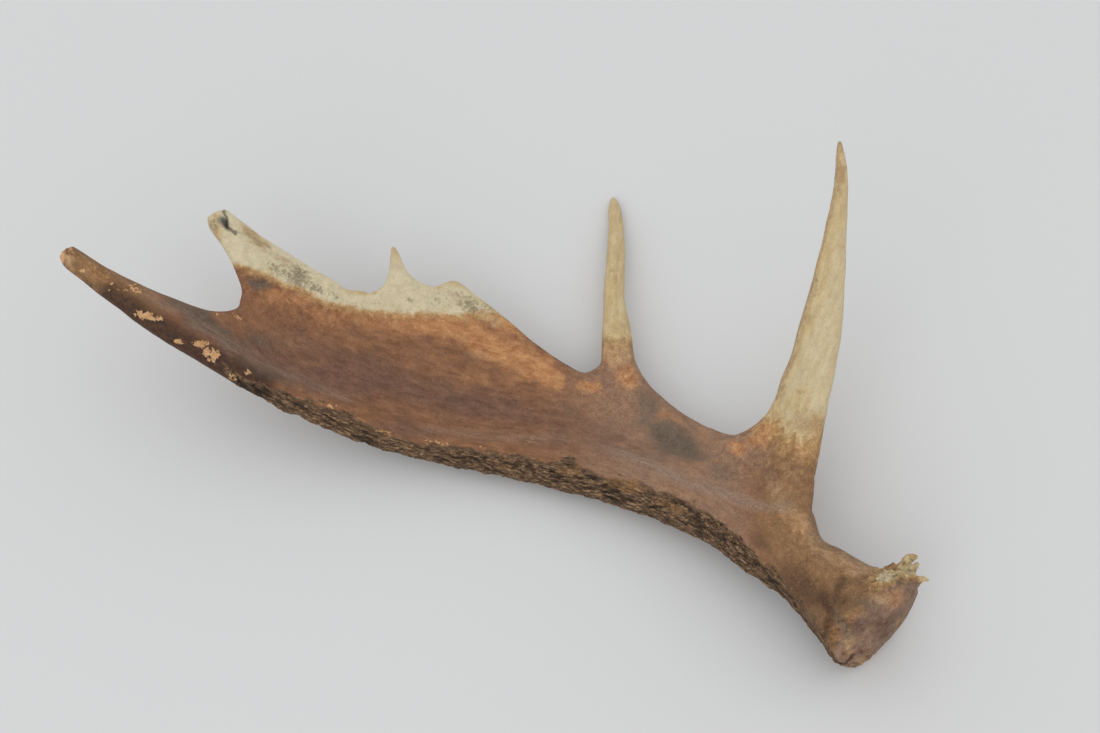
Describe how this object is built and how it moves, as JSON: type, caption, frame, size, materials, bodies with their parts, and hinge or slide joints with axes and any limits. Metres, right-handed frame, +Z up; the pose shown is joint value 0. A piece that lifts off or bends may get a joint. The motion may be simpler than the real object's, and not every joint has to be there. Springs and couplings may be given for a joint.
{
  "type": "moose antler",
  "caption": "Shed moose antler with a cupped palm, a round beam, a burr and tapering tines, lying hollow side up.",
  "frame": {"origin": "middle of the antler's bounding box, on the floor that it rests on", "axes": "+X from the palm's end tine towards the burr, +Y towards the tips of the brow and second tines, +Z up, out of the palm's hollow side"},
  "size_m": [0.504, 0.3324, 0.1144],
  "materials": {
    "beam_bone": "weathered yellowish brown antler bone, matte, with fine lengthwise grooves",
    "palm_bone": "smooth purplish brown antler bone, satin, with a rough dark rib and a cream upper edge",
    "tine_bone": "worn cream antler bone, satin, with fine brown streaks"
  },
  "bodies": {
    "root": {"beam": "beam_bone", "palm": "palm_bone", "brow_tine": "tine_bone", "second_tine": "tine_bone", "end_tine": "palm_bone"}
  },
  "joints": []
}
